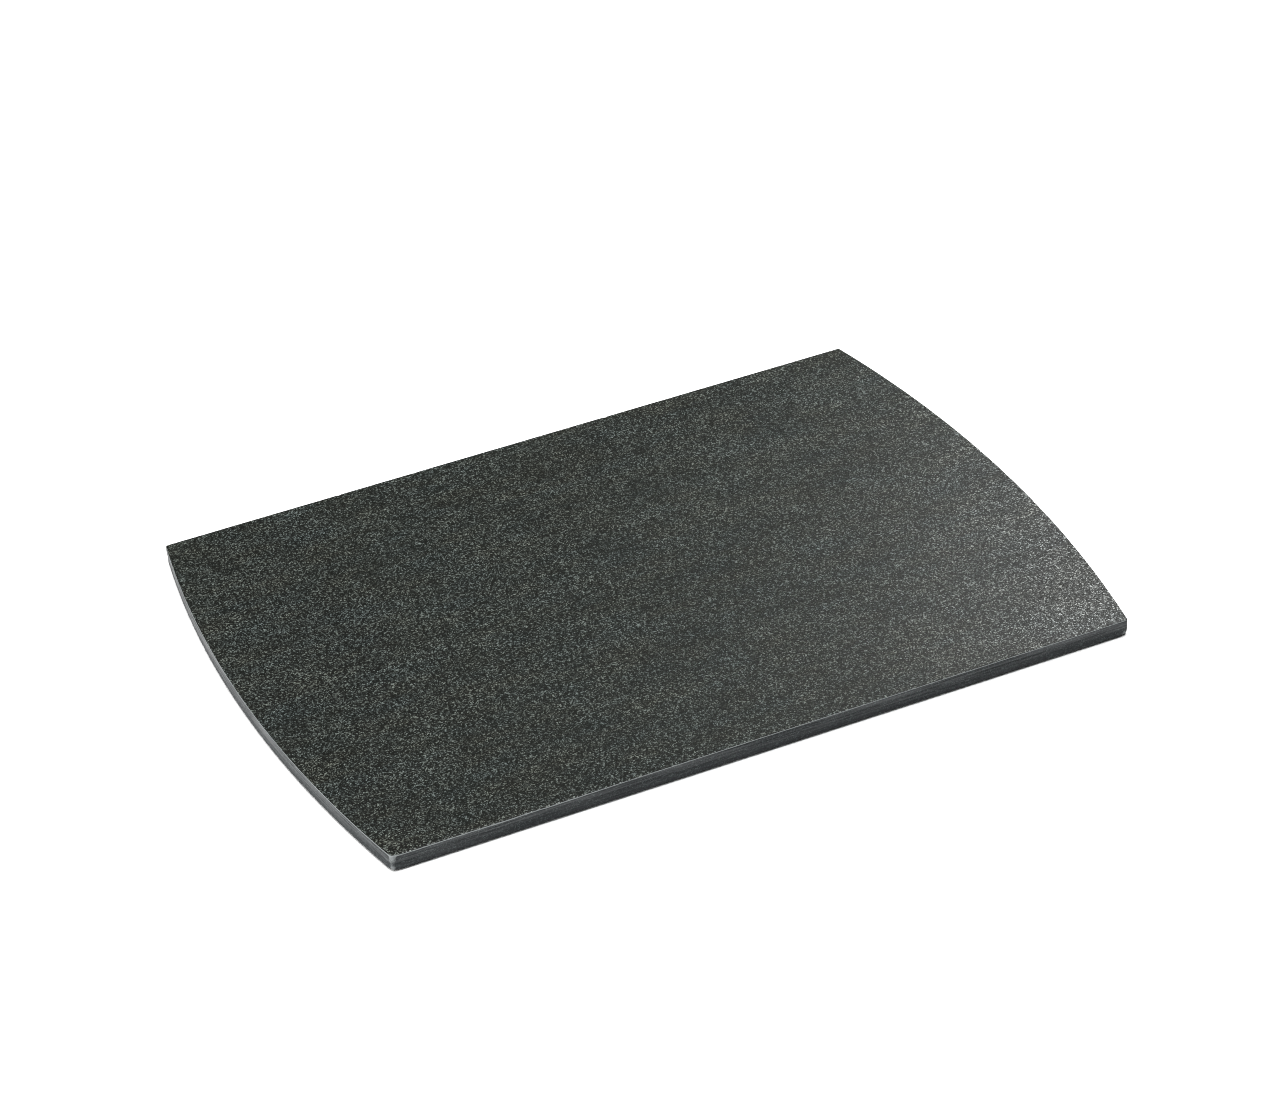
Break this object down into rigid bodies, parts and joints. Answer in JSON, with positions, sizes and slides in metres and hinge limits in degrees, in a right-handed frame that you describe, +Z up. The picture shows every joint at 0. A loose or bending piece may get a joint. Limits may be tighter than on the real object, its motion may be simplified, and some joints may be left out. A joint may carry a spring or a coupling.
{
  "type": "massage stone",
  "caption": "Thin flat basalt slab, rectangular with two outward-bowed ends, small corner radii and honed edges, to be warmed and laid flat for stone massage.",
  "frame": {"origin": "middle of the underside, where the stone rests", "axes": "+X along the two straight sides, towards one bowed end; +Y across the width; +Z up through the thickness"},
  "size_m": [0.4, 0.3, 0.0085],
  "materials": {
    "basalt": "honed"
  },
  "bodies": {
    "root": {"stone_slab": "basalt"}
  },
  "joints": []
}
